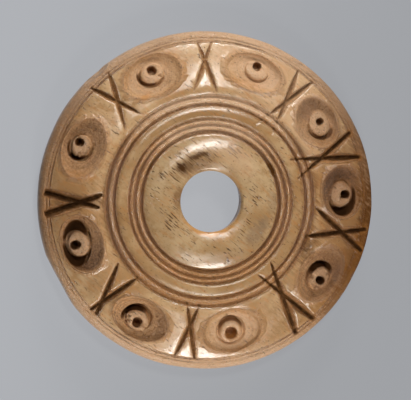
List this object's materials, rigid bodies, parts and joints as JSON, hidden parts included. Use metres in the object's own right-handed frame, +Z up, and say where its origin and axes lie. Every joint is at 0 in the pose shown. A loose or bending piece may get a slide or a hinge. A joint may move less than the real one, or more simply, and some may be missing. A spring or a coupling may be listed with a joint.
{
  "type": "spindle whorl",
  "caption": "Turned bone spindle whorl: a low pierced dome with turned grooves round a smooth boss and a convex border of drilled eyes and crossed strokes.",
  "frame": {"origin": "centre of the flat underside, on the axis of the bore", "axes": "+Z up along the bore's axis, out of the carved face; +X and +Y across the whorl"},
  "size_m": [0.04, 0.04, 0.006],
  "materials": {
    "bone": "polished bone with a soft sheen, matt where it is cut"
  },
  "bodies": {
    "root": {"spindle_whorl": "bone"}
  },
  "joints": []
}
